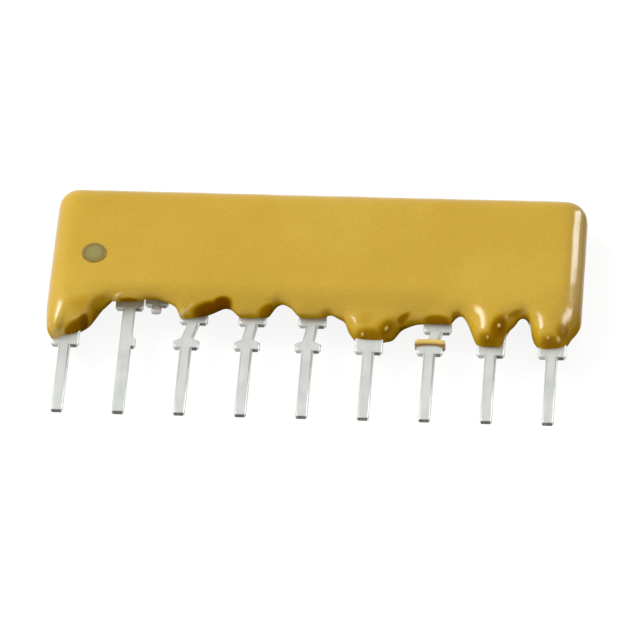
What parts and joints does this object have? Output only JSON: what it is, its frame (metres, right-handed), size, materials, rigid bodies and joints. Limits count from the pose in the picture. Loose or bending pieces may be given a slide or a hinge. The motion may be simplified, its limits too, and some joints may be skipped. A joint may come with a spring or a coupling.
{
  "type": "single in-line resistor network",
  "caption": "Flat golden epoxy-dipped resistor network with one row of stamped, tinned leads along its lower edge and a printed pin 1 dot, lying on its back.",
  "frame": {"origin": "middle of the part's box, on the surface that its back lies on", "axes": "+X along the row of leads from lead 1 to lead 9, +Y from the lead tips to the top edge of the body, +Z out of the front face that carries the pin 1 dot"},
  "size_m": [0.0224, 0.0114, 0.0022],
  "materials": {
    "epoxy": "glossy dipped epoxy, golden ochre, darker brown where it thins under its lower edge",
    "ink": "thin grey-green marking ink",
    "tinned_lead": "bright tin plate over a stamped copper alloy, faint die lines",
    "solder": "bright reflowed solder",
    "alumina": "as-fired white alumina",
    "silver_film": "fired silver-palladium conductor print",
    "resistor_film": "fired ruthenium oxide resistor print, matt black",
    "overglaze": "thin green overglaze"
  },
  "bodies": {
    "root": {"alumina_substrate": "alumina", "bus_conductor": "silver_film", "coating_splash": "epoxy", "cropped_lead": "tinned_lead", "epoxy_coating": "epoxy", "glass_overglaze": "overglaze", "lead_1": "tinned_lead", "lead_2": "tinned_lead", "lead_3": "tinned_lead", "lead_4": "tinned_lead", "lead_5": "tinned_lead", "lead_6": "tinned_lead", "lead_7": "tinned_lead", "lead_8": "tinned_lead", "lead_9": "tinned_lead", "pin_1_dot": "ink", "resistor_film_1": "resistor_film", "resistor_film_2": "resistor_film", "resistor_film_3": "resistor_film", "resistor_film_4": "resistor_film", "resistor_film_5": "resistor_film", "resistor_film_6": "resistor_film", "resistor_film_7": "resistor_film", "resistor_film_8": "resistor_film", "solder_joint_1": "solder", "solder_joint_2": "solder", "solder_joint_3": "solder", "solder_joint_4": "solder", "solder_joint_5": "solder", "solder_joint_6": "solder", "solder_joint_7": "solder", "solder_joint_8": "solder", "solder_joint_9": "solder", "terminal_pad_2": "silver_film", "terminal_pad_3": "silver_film", "terminal_pad_4": "silver_film", "terminal_pad_5": "silver_film", "terminal_pad_6": "silver_film", "terminal_pad_7": "silver_film", "terminal_pad_8": "silver_film", "terminal_pad_9": "silver_film"}
  },
  "joints": []
}
